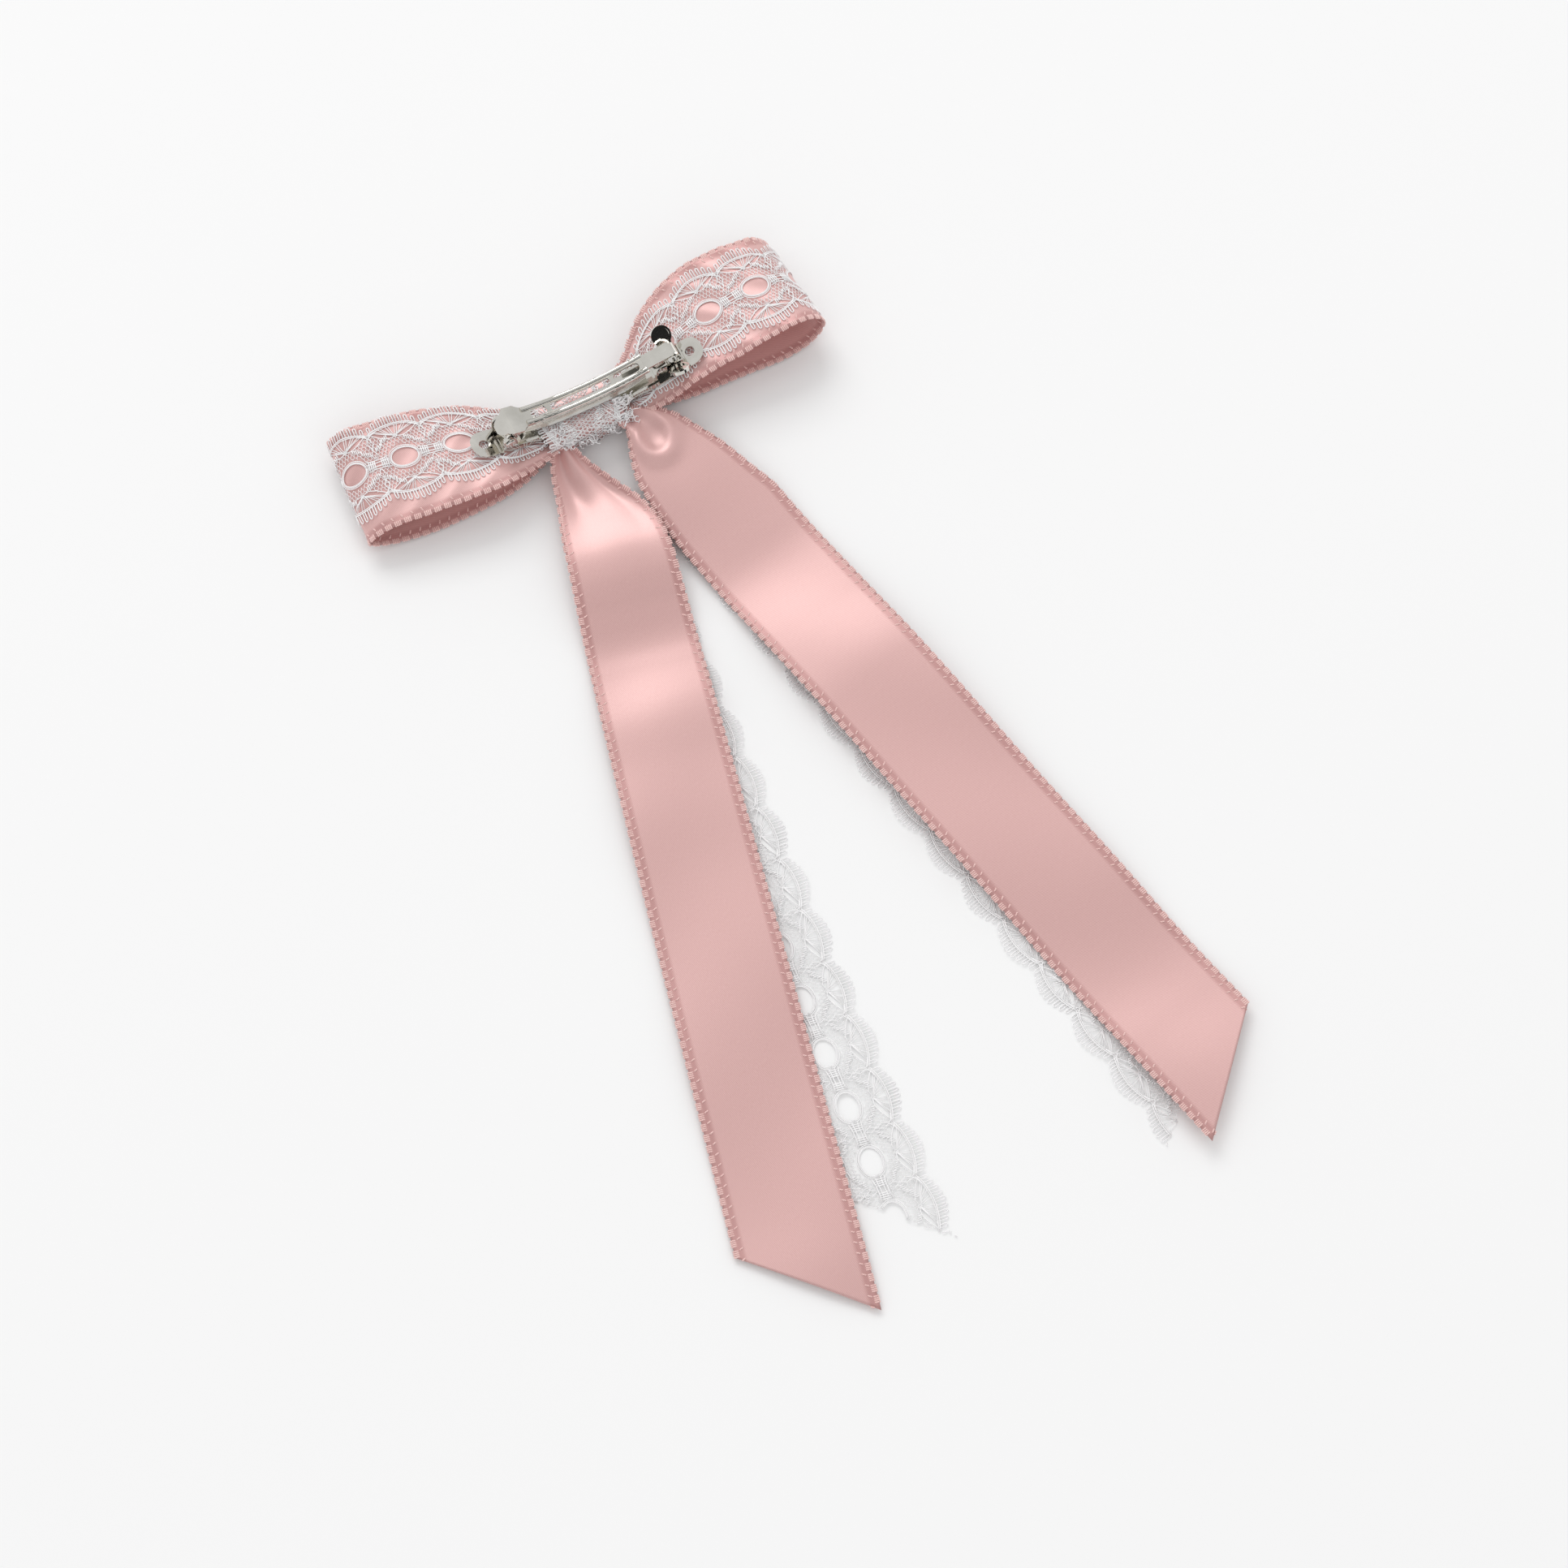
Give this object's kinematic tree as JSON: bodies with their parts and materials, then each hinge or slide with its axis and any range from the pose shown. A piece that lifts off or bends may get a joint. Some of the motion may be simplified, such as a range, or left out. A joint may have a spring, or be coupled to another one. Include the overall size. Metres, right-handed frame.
{
  "type": "ribbon bow hair barrette",
  "caption": "Satin and lace ribbon bow with long tails on a sprung steel French barrette; the clasp arm swings open and snaps shut over a gathered lock of hair.",
  "frame": {"origin": "floor under the middle of the barrette, on the flat front of the knot that the bow lies on", "axes": "+X along the barrette from hinge to latch, +Y away from the tails, +Z towards the head (clip side)"},
  "size_m": [0.1302, 0.2446, 0.0175],
  "materials": {
    "nickel_plate": "bright nickel plating on stamped steel",
    "nickel_pin": "bright nickel plating on drawn wire",
    "spring_steel": "nickel-plated spring strip",
    "pink_satin": "double-faced satin ribbon with picot edges",
    "white_lace": "fine scalloped galloon lace",
    "sewing_thread": "polyester sewing thread"
  },
  "bodies": {
    "bow": {"base_plate": "nickel_plate", "hinge_pin": "nickel_pin", "latch_bracket": "nickel_plate", "latch_catch_pin": "nickel_pin", "latch_rivet": "nickel_pin", "knot_satin_band": "pink_satin", "knot_lace_band": "white_lace", "gather_thread": "sewing_thread", "loop_satin_left": "pink_satin", "loop_lace_left": "white_lace", "loop_satin_right": "pink_satin", "loop_lace_right": "white_lace", "tail_satin_left": "pink_satin", "tail_lace_left": "white_lace", "tail_satin_right": "pink_satin", "tail_lace_right": "white_lace"},
    "clasp": {"clasp_arm": "nickel_plate"},
    "spring": {"tension_strip": "spring_steel"},
    "lug_front": {"latch_lug_front": "nickel_plate"},
    "lug_rear": {"latch_lug_rear": "nickel_plate"}
  },
  "joints": [
    {"name": "clasp_hinge", "type": "hinge", "parent": "bow", "child": "clasp", "pos_m": [-0.0216, 0, 0.01335], "axis": [0, -1, 0], "range_deg": [0, 105]},
    {"name": "lug_front_squeeze", "type": "hinge", "parent": "bow", "child": "lug_front", "pos_m": [0.022, -0.00313, 0.01079], "axis": [-1, 0, 0], "range_deg": [0, 7], "stiffness_Nm_per_rad": 0.03},
    {"name": "lug_rear_squeeze", "type": "hinge", "parent": "bow", "child": "lug_rear", "pos_m": [0.022, 0.00313, 0.01079], "axis": [1, 0, 0], "range_deg": [0, 7], "stiffness_Nm_per_rad": 0.03},
    {"name": "tension_flex", "type": "hinge", "parent": "bow", "child": "spring", "pos_m": [-0.017, 0, 0.00932], "axis": [0, 1, 0], "range_deg": [0, 1.3], "stiffness_Nm_per_rad": 1.8}
  ],
  "couplings": [
    {"joint": "lug_rear_squeeze", "follows": "lug_front_squeeze", "ratio": 1}
  ]
}
